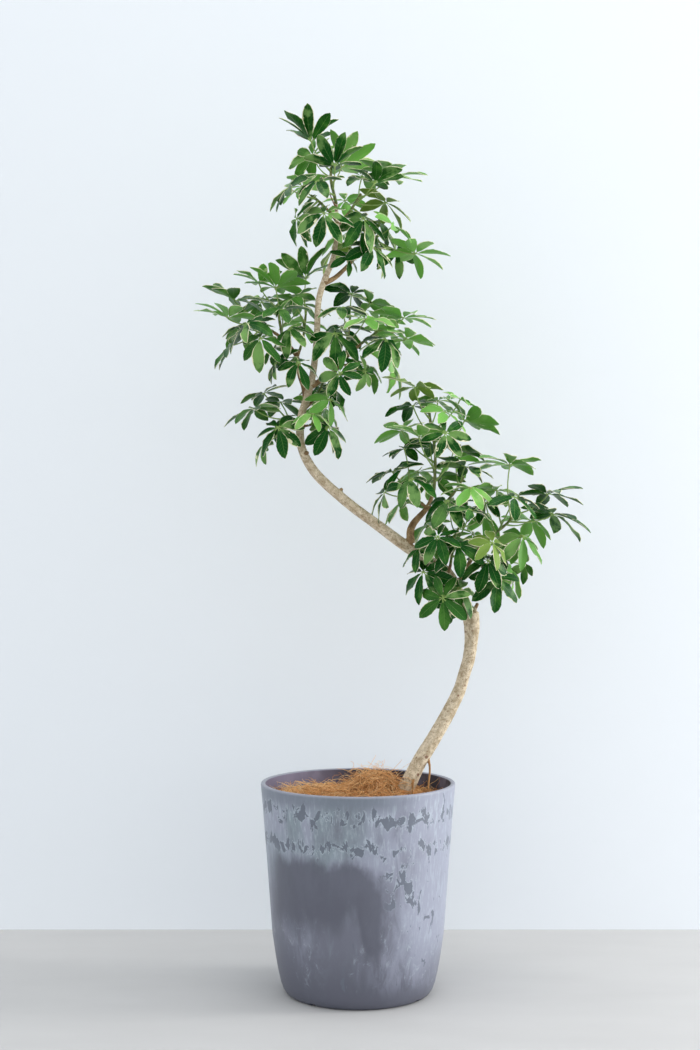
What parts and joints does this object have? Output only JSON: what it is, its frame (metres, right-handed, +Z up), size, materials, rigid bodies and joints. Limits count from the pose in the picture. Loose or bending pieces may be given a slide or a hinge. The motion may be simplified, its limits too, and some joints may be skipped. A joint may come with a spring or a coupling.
{
  "type": "potted schefflera plant",
  "caption": "Potted milky schefflera: a bare bent trunk with leafy shoots of cream-edged palmate leaves, standing in a tall round pot under a fibre mat.",
  "frame": {"origin": "centre of the pot's flat foot, on the surface that it stands on", "axes": "+Z up along the pot's axis; -Y towards the viewer of the picture; +X to the right"},
  "size_m": [0.7089, 0.3466, 1.5593],
  "materials": {
    "resin": "matte marbled resin, purple-grey under pale washes",
    "soil": "dark crumbly potting soil",
    "fibre": "curly matted palm fibre, orange brown",
    "bark": "cream-brown bark with fine ridges and specks",
    "leaf": "satin dark green with irregular cream margins, paler and duller underneath"
  },
  "bodies": {
    "root": {"fibre_mat": "fibre", "pot": "resin", "potting_soil": "soil", "shoot_crown_back": "leaf", "shoot_crown_front": "leaf", "shoot_crown_leader": "leaf", "shoot_crown_left": "leaf", "shoot_crown_low": "leaf", "shoot_crown_low_left": "leaf", "shoot_crown_middle": "leaf", "shoot_crown_right": "leaf", "shoot_crown_right_low": "leaf", "shoot_left_high": "leaf", "shoot_left_low": "leaf", "shoot_left_tip": "leaf", "shoot_left_upper": "leaf", "shoot_low_green": "leaf", "shoot_low_left": "leaf", "shoot_low_right": "leaf", "shoot_right_low": "leaf", "shoot_right_tip": "leaf", "shoot_right_upper": "leaf", "shoot_shoulder_shoot": "leaf", "shoot_side_inner": "leaf", "shoot_side_tip": "leaf", "shoot_top_leader": "leaf", "shoot_top_left": "leaf", "shoot_top_right": "leaf", "trunk": "bark"}
  },
  "joints": []
}
